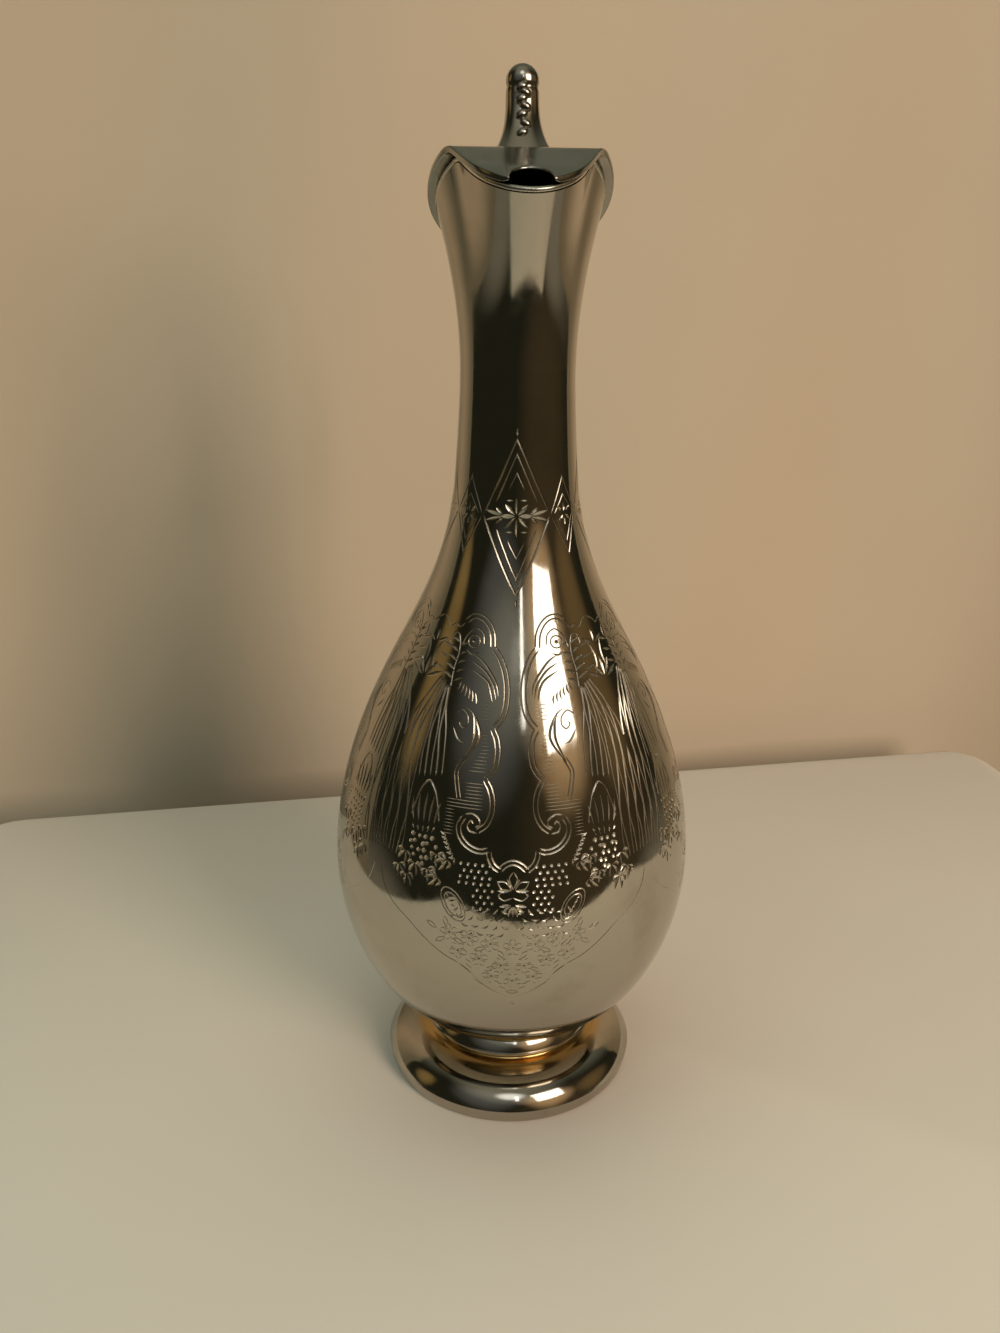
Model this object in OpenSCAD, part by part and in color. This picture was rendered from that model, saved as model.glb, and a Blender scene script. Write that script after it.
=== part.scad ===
// Lidded pitcher of silver plated metal: a pear-shaped engraved body on a spread
// foot, a spouted mouth, a hinged roof-shaped lid with a thumbpiece, and a scroll
// handle behind. Millimetres, +Z up, the spout points along -Y.
// The origin is the centre of the ring that the foot stands on.

/* [Body] */
// Diameter of the belly at its widest
belly_d = 109.2; // [96:0.2:124]
// Height of the widest part of the belly, where the two halves are soldered
belly_z = 75; // [66:1:90]
// Diameter of the neck at its narrowest
neck_d = 31.6; // [27:0.2:36]
// Height of the narrowest part of the neck, where the mouth is soldered on
neck_z = 222; // [215:1:232]
// Thickness of the sheet metal
wall = 1.2; // [0.9:0.1:1.8]
// Diameter of the flat under the bowl that the foot is soldered to
seat_d = 48; // [42:1:54]
// How far the bowl runs out almost level from that flat
bowl_spread = 14; // [10:1:18]
// How far below the belly the bowl begins to lean in
bowl_upright = 28; // [22:1:34]

/* [Foot] */
// Diameter of the foot at its widest
foot_d = 80; // [70:1:94]
// Diameter of the foot where it meets the collar
waist_d = 52; // [48:0.5:56]
// Height of the rounded wire that the foot stands on
foot_rim_h = 4.4; // [3:0.2:6]
// Width of the rounded wire
foot_rim_w = 3.6; // [2.8:0.1:5]
// Height of the foot's shell above its wire
foot_rise = 10; // [8:0.5:14]
// Width of the hollow where the foot draws in to its waist
cove_w = 2.4; // [1.6:0.1:3.2]
// Height of that hollow
cove_h = 2; // [1.4:0.1:2.8]
// Height of the collar between the foot and the bowl
collar_h = 7.2; // [5.5:0.1:10]
// How far the collar swells past the foot's waist
collar_swell = 1.2; // [0.6:0.1:2]

/* [Mouth] */
// Half width of the lid across its sides
lid_r = 24; // [22:0.2:27]
// How far the spout reaches past that round outline
spout_reach = 10; // [7:0.2:12]
// Angle from the front at which the spout runs out into the round
spout_angle = 56; // [50:1:64]
// Overhang of the lid past the mouth at its sides
lid_overhang = 1.8; // [1.2:0.1:2.6]
// Overhang of the lid past the mouth at the tip of the spout
tip_overhang = 0.4; // [0.2:0.1:1]
// Radius of the wire along the mouth's edge
rim_wire_r = 0.8; // [0.6:0.05:1.1]

/* [Lid] */
// Height of the lid's crest above the narrowest part of the neck
crest_rise = 53; // [48:0.5:60]
// How far the crest lies in front of the neck's centre
crest_y = 14; // [10:0.5:18]
// Fall of the lid from the crest to the spout, per unit of length
front_fall = 0.44; // [0.4:0.01:0.6]
// Fall of the lid from the crest to the hinge, per unit of length
back_fall = 0.66; // [0.5:0.01:0.75]
// Half width of the rounding along the crest
crest_round = 2; // [1:0.1:3]
// Thickness of the lid, measured upright
lid_t = 1.6; // [1.2:0.1:2.2]
// Radius of the pouring notch
notch_r = 5.2; // [4.6:0.1:6.4]
// How far the notch's centre lies behind the tip of the spout
notch_inset = 1.8; // [1:0.1:2.6]
// Depth of the flange under the lid
flange_h = 3; // [2:0.1:4]
// Thickness of the flange
flange_t = 0.9; // [0.7:0.1:1.4]

/* [Thumbpiece] */
// Height of the thumbpiece above the crest
thumb_rise = 20; // [15:0.5:26]
// Width of the thumbpiece at its top
thumb_w = 8.4; // [7:0.2:10]
// Depth of the thumbpiece at its top
thumb_depth = 6.4; // [5:0.2:8]
// Width of its flared base
thumb_base_w = 18; // [14:0.5:20]
// How far its base lies behind the crest
thumb_back = 5; // [4.5:0.5:9]

/* [Hinge] */
// Radius of the hinge's knuckles
knuckle_r = 2.3; // [2:0.1:2.8]
// Radius of the hinge's pin
pin_r = 1; // [0.8:0.05:1.2]
// Length of the hinge along its pin
hinge_w = 16; // [13:0.5:20]
// Width of the lid's knuckle
lid_knuckle_w = 5.4; // [4:0.2:7]
// Thickness of the hinge's leaves
leaf_t = 1.4; // [1:0.1:2]
// Length of the strap that holds the lid's knuckle
strap_l = 15; // [11:0.5:18]
// Distance from the lid's edge to the hinge's axis
hinge_reach = 3; // [2.8:0.1:4]

/* [Handle] */
// How far the handle reaches behind the neck's centre
handle_reach = 80; // [74:1:90]
// Width of the handle at its middle
handle_w = 10; // [8:0.2:12]
// Depth of the handle at its middle
handle_depth = 8; // [6.5:0.1:10]
// Slope at which the handle leaves its bracket
handle_slope = 25; // [15:1:35]
// How far the handle runs on before it bends
handle_pull = 30; // [24:1:36]
// Height at which the handle joins the shoulder
handle_foot_z = 122; // [112:1:132]
// Width of the bracket behind the mouth
bracket_w = 10; // [8:0.2:12]
// Radius of the round plate on the shoulder
plate_r = 9; // [7.5:0.1:11]
// Thickness of the round plate
plate_t = 2; // [1.5:0.1:3]
// Length of the boss between the shoulder and the handle
boss_l = 7; // [5:0.5:10]
// Radius of the boss
boss_r = 4.5; // [3.5:0.1:5.5]
// How far the handle's curled tail reaches past the boss
tail_reach = 16; // [12:0.5:20]

/* [Clearances] */
// Solder film between pieces that are joined
solder = 0.05; // [0.02:0.01:0.1]
// Running clearance around the hinge's pin
pin_clearance = 0.05; // [0.02:0.01:0.09]
// Gap between the lid and the mouth's wire
lid_gap = 0.3; // [0.25:0.05:0.6]
// Gap between the knuckles, and around the flange
side_gap = 0.3; // [0.25:0.05:0.5]

/* [Hidden] */
$fn = 96;

silver = [0.78, 0.77, 0.74];
dark_silver = [0.60, 0.59, 0.57];
warm_silver = [0.74, 0.68, 0.56];

belly_r = belly_d / 2;
neck_r = neck_d / 2;
seat_r = seat_d / 2;
foot_r = foot_d / 2;
crest_z = neck_z + crest_rise;
waist_r = waist_d / 2;
collar_z = foot_rim_h + foot_rise;
seat_z = collar_z + collar_h;

// Share of the swell from neck to belly at even steps up the shoulder
shoulder = [0.97, 0.85, 0.66, 0.405, 0.165, 0.045, 0.02];
// End values that bring the curve to the full belly and to the bare neck
shoulder_ends = [(3 - shoulder[0]) / 2, -shoulder[len(shoulder) - 1] / 2];
shoulder_net = concat(
    [shoulder[0]], [shoulder_ends[0]], shoulder, [shoulder_ends[1]], [shoulder[len(shoulder) - 1]]);

// Smooth curve along a row of evenly spaced values, for u from 0 to 1
function net_value(net, u) =
    let (steps = len(net) - 3, at = min(max(u, 0), 1) * steps, i = min(floor(at), steps - 1), s = at - i)
    (pow(1 - s, 3) * net[i] + (3 * pow(s, 3) - 6 * s * s + 4) * net[i + 1]
        + (-3 * pow(s, 3) + 3 * s * s + 3 * s + 1) * net[i + 2] + pow(s, 3) * net[i + 3]) / 6;

function bezier(p, t) =
    pow(1 - t, 3) * p[0] + 3 * t * pow(1 - t, 2) * p[1] + 3 * t * t * (1 - t) * p[2] + pow(t, 3) * p[3];

function reversed(list) = [for (i = [len(list) - 1:-1:0]) list[i]];

// Outer radius of the shoulder and neck at a height
function body_r(z) = neck_r + (belly_r - neck_r) * net_value(shoulder_net, (z - belly_z) / (neck_z - belly_z));

// Angle above level at which the shoulder's surface faces outwards
function body_tilt(z) = atan((body_r(z - 1) - body_r(z + 1)) / 2);

shoulder_cuts = 36;
upper_outline = [for (i = [0:shoulder_cuts])
    let (z = belly_z + (neck_z - belly_z) * i / shoulder_cuts) [body_r(z), z]];

// The bowl leaves its flat seat almost level and arrives upright at the belly
bowl_cuts = 20;
bowl_net = [
    [seat_r, seat_z], [seat_r + bowl_spread, seat_z + 1], [belly_r, belly_z - bowl_upright], [belly_r, belly_z]
];
lower_outline = [for (i = [0:bowl_cuts]) bezier(bowl_net, i / bowl_cuts)];

// A line of points moved inwards by the wall, with level ends where they are soldered
function inner_point(p, i, level_start) =
    let (last = len(p) - 1, along = p[min(i + 1, last)] - p[max(i - 1, 0)])
    (i == last || (i == 0 && level_start)) ? p[i] - [wall, 0]
        : p[i] + wall * [-along[1], along[0]] / norm(along);
function inner_outline(p, level_start) = [for (i = [0:len(p) - 1]) inner_point(p, i, level_start)];

// The foot rises from its wire as a long bell, then hollows up to its waist
bell_cuts = 12;
cove_cuts = 5;
cove_r = waist_r + cove_w;
cove_z = collar_z - cove_h;
bell_net = [
    [foot_r, foot_rim_h], [foot_r - 0.32 * foot_rise, foot_rim_h + 0.72 * foot_rise],
    [cove_r + 0.25 * foot_rise, cove_z - 0.125 * foot_rise], [cove_r, cove_z]
];
cove_net = [
    [cove_r, cove_z], [cove_r - 0.5 * cove_w, cove_z + 0.25 * cove_w],
    [waist_r, collar_z - 0.6 * cove_h], [waist_r, collar_z]
];
foot_outline = concat(
    [for (i = [0:bell_cuts]) bezier(bell_net, i / bell_cuts)],
    [for (i = [1:cove_cuts]) bezier(cove_net, i / cove_cuts)]);

// Height of the lid's top at a place along Y: two falls with a rounded crest between
crest_line = crest_z + crest_round * (front_fall + back_fall) / 4;
function roof_z(y) =
    let (d = y + crest_y, w = crest_round)
    d > w ? crest_line - back_fall * d
        : d < -w ? crest_line + front_fall * d
            : crest_z + (front_fall - back_fall) / 2 * d - (front_fall + back_fall) / (4 * w) * d * d;

// Radius of the lid's outline at an angle from the front
function off_front(t) = abs(t > 180 ? t - 360 : t);
function spout_share(t) = off_front(t) < spout_angle ? pow(cos(90 * off_front(t) / spout_angle), 2) : 0;
function lid_plan_r(t) = lid_r + spout_reach * spout_share(t);
function overhang(t) = lid_overhang + (tip_overhang - lid_overhang) * spout_share(t);
function mouth_plan_r(t) = lid_plan_r(t) - overhang(t) - rim_wire_r / 2;
function heading(t) = [sin(t), -cos(t)];

plan_cuts = 60;
plan_angles = [for (i = [0:plan_cuts - 1]) i * 360 / plan_cuts];

// Under the lid come the gap, then the wire, then the mouth's edge
wire_drop = lid_t + lid_gap + rim_wire_r * 1.3;
edge_drop = wire_drop + rim_wire_r + solder;
function wire_plan_r(t) = mouth_plan_r(t) - wall / 2;
function edge_z(t) = roof_z(-wire_plan_r(t) * cos(t)) - edge_drop;

// The mouth flares from the neck's circle to its edge
flare_cuts = 9;
function flare(s) = s * s * (1.25 - 0.25 * s);
function mouth_point(t, s, inset) =
    let (r = neck_r + (mouth_plan_r(t) - neck_r) * flare(s) - inset)
    [each r * heading(t), neck_z + (edge_z(t) - neck_z) * s];
function mouth_ring(s, inset) = [for (t = plan_angles) mouth_point(t, s, inset)];

// Solid between rings that close on themselves in both directions
module ring_solid(rings) {
    n = len(rings[0]);
    m = len(rings);
    faces = [for (i = [0:m - 1]) for (j = [0:n - 1])
        let (a = i * n + j, b = i * n + (j + 1) % n, c = (i + 1) % m * n + (j + 1) % n, d = (i + 1) % m * n + j)
        each [[a, c, b], [a, d, c]]];
    polyhedron([for (ring = rings) each ring], faces);
}

// Solid along a row of rings, with a flat face on its first and last ring
module swept_solid(rings) {
    n = len(rings[0]);
    m = len(rings);
    sides = [for (i = [0:m - 2]) for (j = [0:n - 1])
        let (a = i * n + j, b = i * n + (j + 1) % n, c = (i + 1) * n + (j + 1) % n, d = (i + 1) * n + j)
        each [[a, c, b], [a, d, c]]];
    first = [for (j = [0:n - 1]) j];
    last = [for (j = [n - 1:-1:0]) (m - 1) * n + j];
    polyhedron([for (ring = rings) each ring], concat(sides, [first], [last]));
}

// Outline drawn as [y, z], made a plate of some width across X
module side_plate(points, width) {
    rotate([90, 0, 90]) linear_extrude(width, center = true) polygon(points);
}

module turned(points) {
    rotate_extrude() polygon(points);
}

// The parts of the foot
module foot_rim_wire() {
    bulge = 1.2;
    arc = [for (a = [-90:15:0]) [foot_r - bulge + bulge * cos(a), foot_rim_h + foot_rim_h * sin(a)]];
    color(silver) turned(concat([[foot_r - foot_rim_w, 0]], arc, [[foot_r - foot_rim_w, foot_rim_h]]));
}

module foot_shell() {
    color(warm_silver) turned(concat(foot_outline, reversed(inner_outline(foot_outline, true))));
}

module foot_collar() {
    top_r = seat_r - 0.2;
    bore_r = min(seat_r, waist_r) - 3;
    swell_net = [
        [waist_r, collar_z], [waist_r + 2 * collar_swell, collar_z + 0.2 * collar_h],
        [waist_r + collar_swell, collar_z + 0.9 * collar_h], [top_r, seat_z]
    ];
    swell = [for (i = [0:10]) bezier(swell_net, i / 10)];
    color(warm_silver) turned(concat(swell, [[bore_r, seat_z], [bore_r, collar_z]]));
}

// The body, in two halves soldered at the belly
module lower_bowl() {
    inside = inner_outline(lower_outline, false);
    color(silver) turned(concat([[0, seat_z]], lower_outline, reversed(inside), [[0, inside[0][1]]]));
}

module upper_body() {
    color(silver) turned(concat(upper_outline, reversed(inner_outline(upper_outline, true))));
}

// The spouted mouth and the wire along its edge
module mouth() {
    outside = [for (i = [0:flare_cuts]) mouth_ring(i / flare_cuts, 0)];
    inside = [for (i = [flare_cuts:-1:0]) mouth_ring(i / flare_cuts, wall)];
    color(silver) ring_solid(concat(outside, inside));
}

module mouth_rim_wire() {
    sides = 8;
    middle = [for (t = plan_angles)
        let (r = wire_plan_r(t)) [each r * heading(t), roof_z(-r * cos(t)) - wire_drop]];
    rings = [for (k = [0:sides - 1])
        let (a = 22.5 + k * 360 / sides)
        [for (j = [0:plan_cuts - 1])
            let (t = plan_angles[j], p = middle[j]) p + rim_wire_r * [each cos(a) * heading(t), sin(a)]]];
    color(dark_silver) ring_solid(rings);
}

// The lid turns about a pin behind the mouth
hinge_y = lid_r + hinge_reach;
hinge_z = roof_z(lid_r) - lid_t / 2;
bore_r = pin_r + pin_clearance;
leaf_seat_z = hinge_z - knuckle_r - side_gap - leaf_t;
body_knuckle_w = (hinge_w - lid_knuckle_w) / 2 - side_gap;

module along_hinge(x, length, r) {
    translate([x, hinge_y, hinge_z]) rotate([0, 90, 0]) cylinder(h = length, r = r, center = true);
}

module hinge_body_leaf() {
    knuckle_x = (hinge_w - body_knuckle_w) / 2;
    front_y = hinge_y - knuckle_r - 0.1;
    back_y = hinge_y + knuckle_r + 0.5;
    cheek_w = 2 * knuckle_r - 0.6;
    color(dark_silver) difference() {
        union() {
            translate([-hinge_w / 2, front_y, leaf_seat_z]) cube([hinge_w, back_y - front_y, leaf_t]);
            for (side = [-1, 1]) {
                along_hinge(side * knuckle_x, body_knuckle_w, knuckle_r);
                translate([side * knuckle_x - body_knuckle_w / 2, hinge_y - cheek_w / 2, leaf_seat_z])
                    cube([body_knuckle_w, cheek_w, hinge_z - leaf_seat_z]);
            }
        }
        along_hinge(0, hinge_w + 1, bore_r);
    }
}

module hinge_pin() {
    head_t = 0.7;
    head_r = pin_r + 0.6;
    color(dark_silver) union() {
        along_hinge(0, hinge_w + head_t, pin_r);
        for (side = [-1, 1]) along_hinge(side * (hinge_w + head_t) / 2, head_t, head_r);
    }
}

module hinge_lid_leaf() {
    leaf_w = lid_knuckle_w - 0.2;
    start_y = hinge_y - strap_l;
    rise = leaf_t * sqrt(1 + back_fall * back_fall);
    strap = [
        [start_y, roof_z(start_y)], [hinge_y, roof_z(hinge_y)],
        [hinge_y, roof_z(hinge_y) + rise], [start_y, roof_z(start_y) + rise]
    ];
    color(dark_silver) difference() {
        union() {
            side_plate(strap, leaf_w);
            along_hinge(0, lid_knuckle_w, knuckle_r);
        }
        along_hinge(0, hinge_w, bore_r);
    }
}

// Plate under the roof line between two depths, wider than the lid
lid_front_y = -(lid_r + spout_reach);
module roof_slab(top, bottom) {
    margin = 3;
    crest_steps = 8;
    ys = concat([lid_front_y - margin],
        [for (i = [0:crest_steps]) -crest_y + crest_round * (2 * i / crest_steps - 1)], [lid_r + margin]);
    upper = [for (y = ys) [y, roof_z(y) - top]];
    lower = [for (y = reversed(ys)) [y, roof_z(y) - bottom]];
    side_plate(concat(upper, lower), 2 * (lid_r + margin));
}

module upright(points) {
    bottom_z = neck_z;
    top_z = crest_z + 5;
    translate([0, 0, bottom_z]) linear_extrude(top_z - bottom_z) polygon(points);
}

module notch_cut() {
    translate([0, lid_front_y + notch_inset, neck_z]) cylinder(h = crest_z - neck_z + 5, r = notch_r);
}

module lid_cover() {
    outline = [for (t = plan_angles) lid_plan_r(t) * heading(t)];
    color(silver) difference() {
        intersection() {
            upright(outline);
            roof_slab(0, lid_t);
        }
        notch_cut();
    }
}

// Flange that drops inside the mouth, open behind the pouring notch
module lid_flange() {
    inset = wall + rim_wire_r + side_gap;
    outer = [for (t = plan_angles) (mouth_plan_r(t) - inset) * heading(t)];
    inner = [for (t = plan_angles) (mouth_plan_r(t) - inset - flange_t) * heading(t)];
    opening_w = 2 * notch_r + 6;
    opening_l = spout_reach + lid_r / 2;
    color(silver) difference() {
        intersection() {
            upright(outer);
            roof_slab(lid_t, lid_t + flange_h);
        }
        upright(inner);
        translate([-opening_w / 2, lid_front_y - 1, neck_z]) cube([opening_w, opening_l, crest_z - neck_z]);
    }
}

// Cast post that stands square on the lid's back fall and curves upright
module thumbpiece() {
    sides = 20;
    cuts = 14;
    base_y = thumb_back - crest_y;
    fall = atan(back_fall);
    base = [base_y, roof_z(base_y)];
    top_z = crest_z + thumb_rise;
    height = top_z - base[1];
    path = [
        base, base + 0.45 * height * [sin(fall), cos(fall)],
        [base_y + 0.3 * height, base[1] + 0.7 * height], [base_y + 0.3 * height, top_z - thumb_w / 2]
    ];
    cap_cuts = 5;
    // The base draws in quickly to the post's own width
    function width(u) = thumb_w + (thumb_base_w - thumb_w) * pow(1 - u, 5);
    function depth(u) = thumb_depth * (1 + 0.15 * pow(1 - u, 5));
    function level(at, tilt, w, d) = [for (k = [0:sides - 1])
        let (a = k * 360 / sides)
        [w / 2 * cos(a), at[0] + d / 2 * sin(a) * cos(tilt), at[1] - d / 2 * sin(a) * sin(tilt)]];
    post = [for (i = [0:cuts])
        let (u = i / cuts) level(bezier(path, u), fall * (1 - u), width(u), depth(u))];
    cap = [for (i = [1:cap_cuts])
        let (a = i * 80 / cap_cuts, at = path[3] + [0, thumb_w / 2 * sin(a) / sin(80)])
        level(at, 0, thumb_w * cos(a), thumb_depth * cos(a))];
    color(dark_silver) swept_solid(concat(post, cap));
}

// The neck and the back of the mouth, grown by a margin, as a turned core to cut against
function back_outline(margin) = concat(
    [for (i = [0:4]) let (z = neck_z - 20 + 5 * i) [body_r(z) + margin, z]],
    [for (i = [1:flare_cuts])
        let (p = mouth_point(180, i / flare_cuts, 0)) [p[1] + margin, p[2]]]);

// Bracket behind the mouth: the hinge sits on its top, the handle leaves its sloping face
bracket_grip = handle_depth * 0.75 + 1.5;
handle_start = [hinge_y + 3.5, leaf_seat_z - bracket_grip * cos(handle_slope) / 2 - 2];
start_dir = [cos(handle_slope), sin(handle_slope)];
start_up = [-sin(handle_slope), cos(handle_slope)];

module handle_bracket() {
    face_top = handle_start + start_up * bracket_grip / 2;
    face_bottom = handle_start - start_up * bracket_grip / 2;
    root_z = neck_z - 4;
    core = back_outline(solder);
    side = [
        [0, leaf_seat_z], [face_top[0], leaf_seat_z], face_top, face_bottom, [neck_r + 2, root_z], [0, root_z]
    ];
    top_z = core[len(core) - 1][1];
    color(silver) difference() {
        side_plate(side, bracket_w);
        turned(concat(core, [[0, top_z], [0, core[0][1]]]));
    }
}

// Round plate and boss on the shoulder, facing square to the surface
plate_tilt = body_tilt(handle_foot_z);
plate_dir = [cos(plate_tilt), sin(plate_tilt)];
plate_at = [body_r(handle_foot_z), handle_foot_z];
handle_end = plate_at + plate_dir * boss_l;

module handle_plate() {
    sink = 4;
    cuts = 10;
    span = 2 * plate_r + 2 * sink;
    core = [for (i = [0:cuts])
        let (z = handle_foot_z - span / 2 + span * i / cuts) [body_r(z) + solder, z]];
    color(silver) difference() {
        translate([0, plate_at[0], plate_at[1]]) rotate([plate_tilt - 90, 0, 0]) {
            translate([0, 0, -sink]) cylinder(h = sink + plate_t, r = plate_r);
            cylinder(h = boss_l, r = boss_r);
        }
        turned(concat(core, [[0, core[cuts][1]], [0, core[0][1]]]));
    }
}

// Scroll handle: a high loop, a run down to the boss on the shoulder, and a curled tail
module handle() {
    sides = 16;
    cuts = 16;
    tail_cuts = 10;
    beside_boss = handle_end + (handle_depth / 2 + solder) * plate_dir;
    down_body = [plate_dir[1], -plate_dir[0]];
    turn = [handle_reach - handle_depth / 2, 0.62 * handle_start[1] + 0.38 * handle_end[1] + 6];
    upper = [handle_start, handle_start + handle_pull * start_dir, turn + [0, 1.35 * handle_pull], turn];
    lower = [turn, turn - [0, 1.15 * handle_pull], beside_boss - handle_pull * down_body, beside_boss];
    tail_end = beside_boss + tail_reach * [1, -0.75];
    tail = [beside_boss, beside_boss + 0.7 * tail_reach * down_body, tail_end - [0, 0.7 * tail_reach], tail_end];
    middle = concat(
        [for (i = [0:cuts - 1]) bezier(upper, i / cuts)], [for (i = [0:cuts - 1]) bezier(lower, i / cuts)],
        [for (i = [0:tail_cuts]) bezier(tail, i / tail_cuts)]);
    last = len(middle) - 1;
    function along(i) = i == 0 ? start_dir : middle[min(i + 1, last)] - middle[i - 1];
    function swell(i) = i < 2 * cuts ? 0.8 + 0.2 * sin(90 * i / cuts) : 0.8 - 0.35 * (i - 2 * cuts) / tail_cuts;
    rings = [for (i = [0:last])
        let (d = along(i) / norm(along(i)), across = [-d[1], d[0]], k = swell(i))
        [for (j = [0:sides - 1])
            let (a = j * 360 / sides, out = k * handle_depth / 2 * sin(a), p = middle[i] + out * across)
            [k * handle_w / 2 * cos(a), p[0], p[1]]]];
    color(silver) swept_solid(rings);
}

foot_rim_wire();
foot_shell();
foot_collar();
lower_bowl();
upper_body();
mouth();
mouth_rim_wire();
handle_bracket();
handle_plate();
handle();
hinge_body_leaf();
hinge_pin();
hinge_lid_leaf();
lid_cover();
lid_flange();
thumbpiece();
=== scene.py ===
# Lidded pitcher of engraved silver plate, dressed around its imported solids
# Pieces are drawn in millimetres, with the spout along -Y, and scaled to metres last
from math import atan, cos, hypot, pi, radians, sin

import bmesh
import bpy
import numpy as np
from mathutils import Matrix, Vector
from mathutils.geometry import delaunay_2d_cdt


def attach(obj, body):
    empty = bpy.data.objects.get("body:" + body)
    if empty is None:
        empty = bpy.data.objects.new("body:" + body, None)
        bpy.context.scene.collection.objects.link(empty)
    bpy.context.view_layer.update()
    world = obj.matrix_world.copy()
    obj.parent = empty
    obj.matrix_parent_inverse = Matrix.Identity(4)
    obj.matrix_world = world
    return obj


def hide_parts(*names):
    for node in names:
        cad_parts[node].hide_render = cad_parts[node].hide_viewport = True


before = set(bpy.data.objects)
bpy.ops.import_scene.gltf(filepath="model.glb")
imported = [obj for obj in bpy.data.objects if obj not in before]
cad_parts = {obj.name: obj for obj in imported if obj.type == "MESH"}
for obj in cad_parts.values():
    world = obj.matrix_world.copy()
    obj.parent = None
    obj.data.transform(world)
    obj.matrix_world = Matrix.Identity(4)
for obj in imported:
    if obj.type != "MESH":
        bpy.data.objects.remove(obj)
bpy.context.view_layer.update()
MM = 0.001

# Sizes of the solids, as in the part's source
BELLY_R, BELLY_Z = 54.6, 75
NECK_R, NECK_Z = 15.8, 222
WALL = 1.2
SEAT_R, SEAT_Z = 24, 21.6
FOOT_R, WAIST_R = 40, 26
COVE_W, COVE_H = 2.4, 2
FOOT_RIM_H, FOOT_RIM_W, COLLAR_Z = 4.4, 3.6, 14.4
LID_R, SPOUT_REACH, SPOUT_ANGLE = 24, 10, 56
LID_OVERHANG, TIP_OVERHANG, RIM_WIRE_R = 1.8, 0.4, 0.8
CREST_Z, CREST_Y, CREST_ROUND = 275, -14, 2
FRONT_FALL, BACK_FALL, LID_T = 0.44, 0.66, 1.6
NOTCH_R, NOTCH_Y = 5.2, -32.2
WIRE_DROP, EDGE_DROP = 2.94, 3.79
THUMB_TOP_Z, THUMB_W, THUMB_DEPTH, THUMB_BASE_W, THUMB_Y = 295, 8.4, 6.4, 18, -9
HANDLE_W, HANDLE_DEPTH, HANDLE_REACH = 10, 8, 80

# The photograph was taken from a little left of the spout, and the engraving faces the camera
CAMERA_TURN = 4.7
ORNAMENT_TURN = -3.9


# Curves that the pieces share

def clamp(share):
    return min(max(share, 0), 1)


def bezier(p, t):
    p = [np.array(q, float) for q in p]
    return (1 - t) ** 3 * p[0] + 3 * t * (1 - t) ** 2 * p[1] + 3 * t * t * (1 - t) * p[2] + t ** 3 * p[3]


def sides(path):
    """Unit steps to the left of a path, point by point"""
    along = np.gradient(path, axis=0)
    along /= np.maximum(np.hypot(along[:, 0], along[:, 1]), 1e-9)[:, None]
    return np.stack([-along[:, 1], along[:, 0]], 1)


def gone_along(path):
    """Length gone along a path, point by point"""
    return np.concatenate([[0], np.cumsum(np.hypot(*np.diff(path, axis=0).T))])


# Shares of the way from the neck's radius to the belly's, going up
SHOULDER = [0.97, 0.85, 0.66, 0.405, 0.165, 0.045, 0.02]
SHOULDER_NET = [SHOULDER[0], (3 - SHOULDER[0]) / 2, *SHOULDER, -SHOULDER[-1] / 2, SHOULDER[-1]]


def body_r(z):
    """Outer radius of the shoulder and neck at a height"""
    steps = len(SHOULDER_NET) - 3
    at = clamp((z - BELLY_Z) / (NECK_Z - BELLY_Z)) * steps
    i = min(int(at), steps - 1)
    s = at - i
    a, b, c, d = SHOULDER_NET[i:i + 4]
    share = ((1 - s) ** 3 * a + (3 * s ** 3 - 6 * s * s + 4) * b
             + (-3 * s ** 3 + 3 * s * s + 3 * s + 1) * c + s ** 3 * d)
    return NECK_R + (BELLY_R - NECK_R) * share / 6


BOWL = [(SEAT_R, SEAT_Z), (SEAT_R + 14, SEAT_Z + 1), (BELLY_R, BELLY_Z - 28), (BELLY_R, BELLY_Z)]
lower_line = np.array([bezier(BOWL, i / 160) for i in range(161)])
upper_line = np.array([(body_r(z), z) for z in np.linspace(BELLY_Z, NECK_Z, 441)])
skin = np.vstack([lower_line, upper_line[1:]])
skin_r, skin_z = skin.T
skin_step = np.hypot(np.diff(skin_r), np.diff(skin_z))
# Climb up the skin in units of its own radius, so that drawn shapes keep their angles
skin_climb = np.concatenate([[0], np.cumsum(skin_step * 2 / (skin_r[1:] + skin_r[:-1]))])
skin_out, skin_up = -sides(skin).T


def climb_at(z):
    return float(np.interp(z, skin_z, skin_climb))


def roof_z(y):
    """Height of the lid's top at a place along Y"""
    d, w = y - CREST_Y, CREST_ROUND
    apex = CREST_Z + w * (FRONT_FALL + BACK_FALL) / 4
    if d > w:
        return apex - BACK_FALL * d
    if d < -w:
        return apex + FRONT_FALL * d
    return CREST_Z + (FRONT_FALL - BACK_FALL) / 2 * d - (FRONT_FALL + BACK_FALL) / (4 * w) * d * d


def spout_share(t):
    off = abs((t + 180) % 360 - 180)
    return cos(radians(90 * off / SPOUT_ANGLE)) ** 2 if off < SPOUT_ANGLE else 0


def lid_plan_r(t):
    return LID_R + SPOUT_REACH * spout_share(t)


def mouth_plan_r(t):
    return lid_plan_r(t) - LID_OVERHANG + (LID_OVERHANG - TIP_OVERHANG) * spout_share(t) - RIM_WIRE_R / 2


def heading(t, r, z):
    return Vector((r * sin(radians(t)), -r * cos(radians(t)), z))


# Mesh tools

TURNED_STEPS, SWEPT_STEPS = 160, 40


def ring(bm, points):
    verts = [bm.verts.new(p) for p in points]
    return [bm.edges.new(pair) for pair in zip(verts, verts[1:] + verts[:1])]


def face_outwards(bm):
    bmesh.ops.recalc_face_normals(bm, faces=bm.faces)


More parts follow.
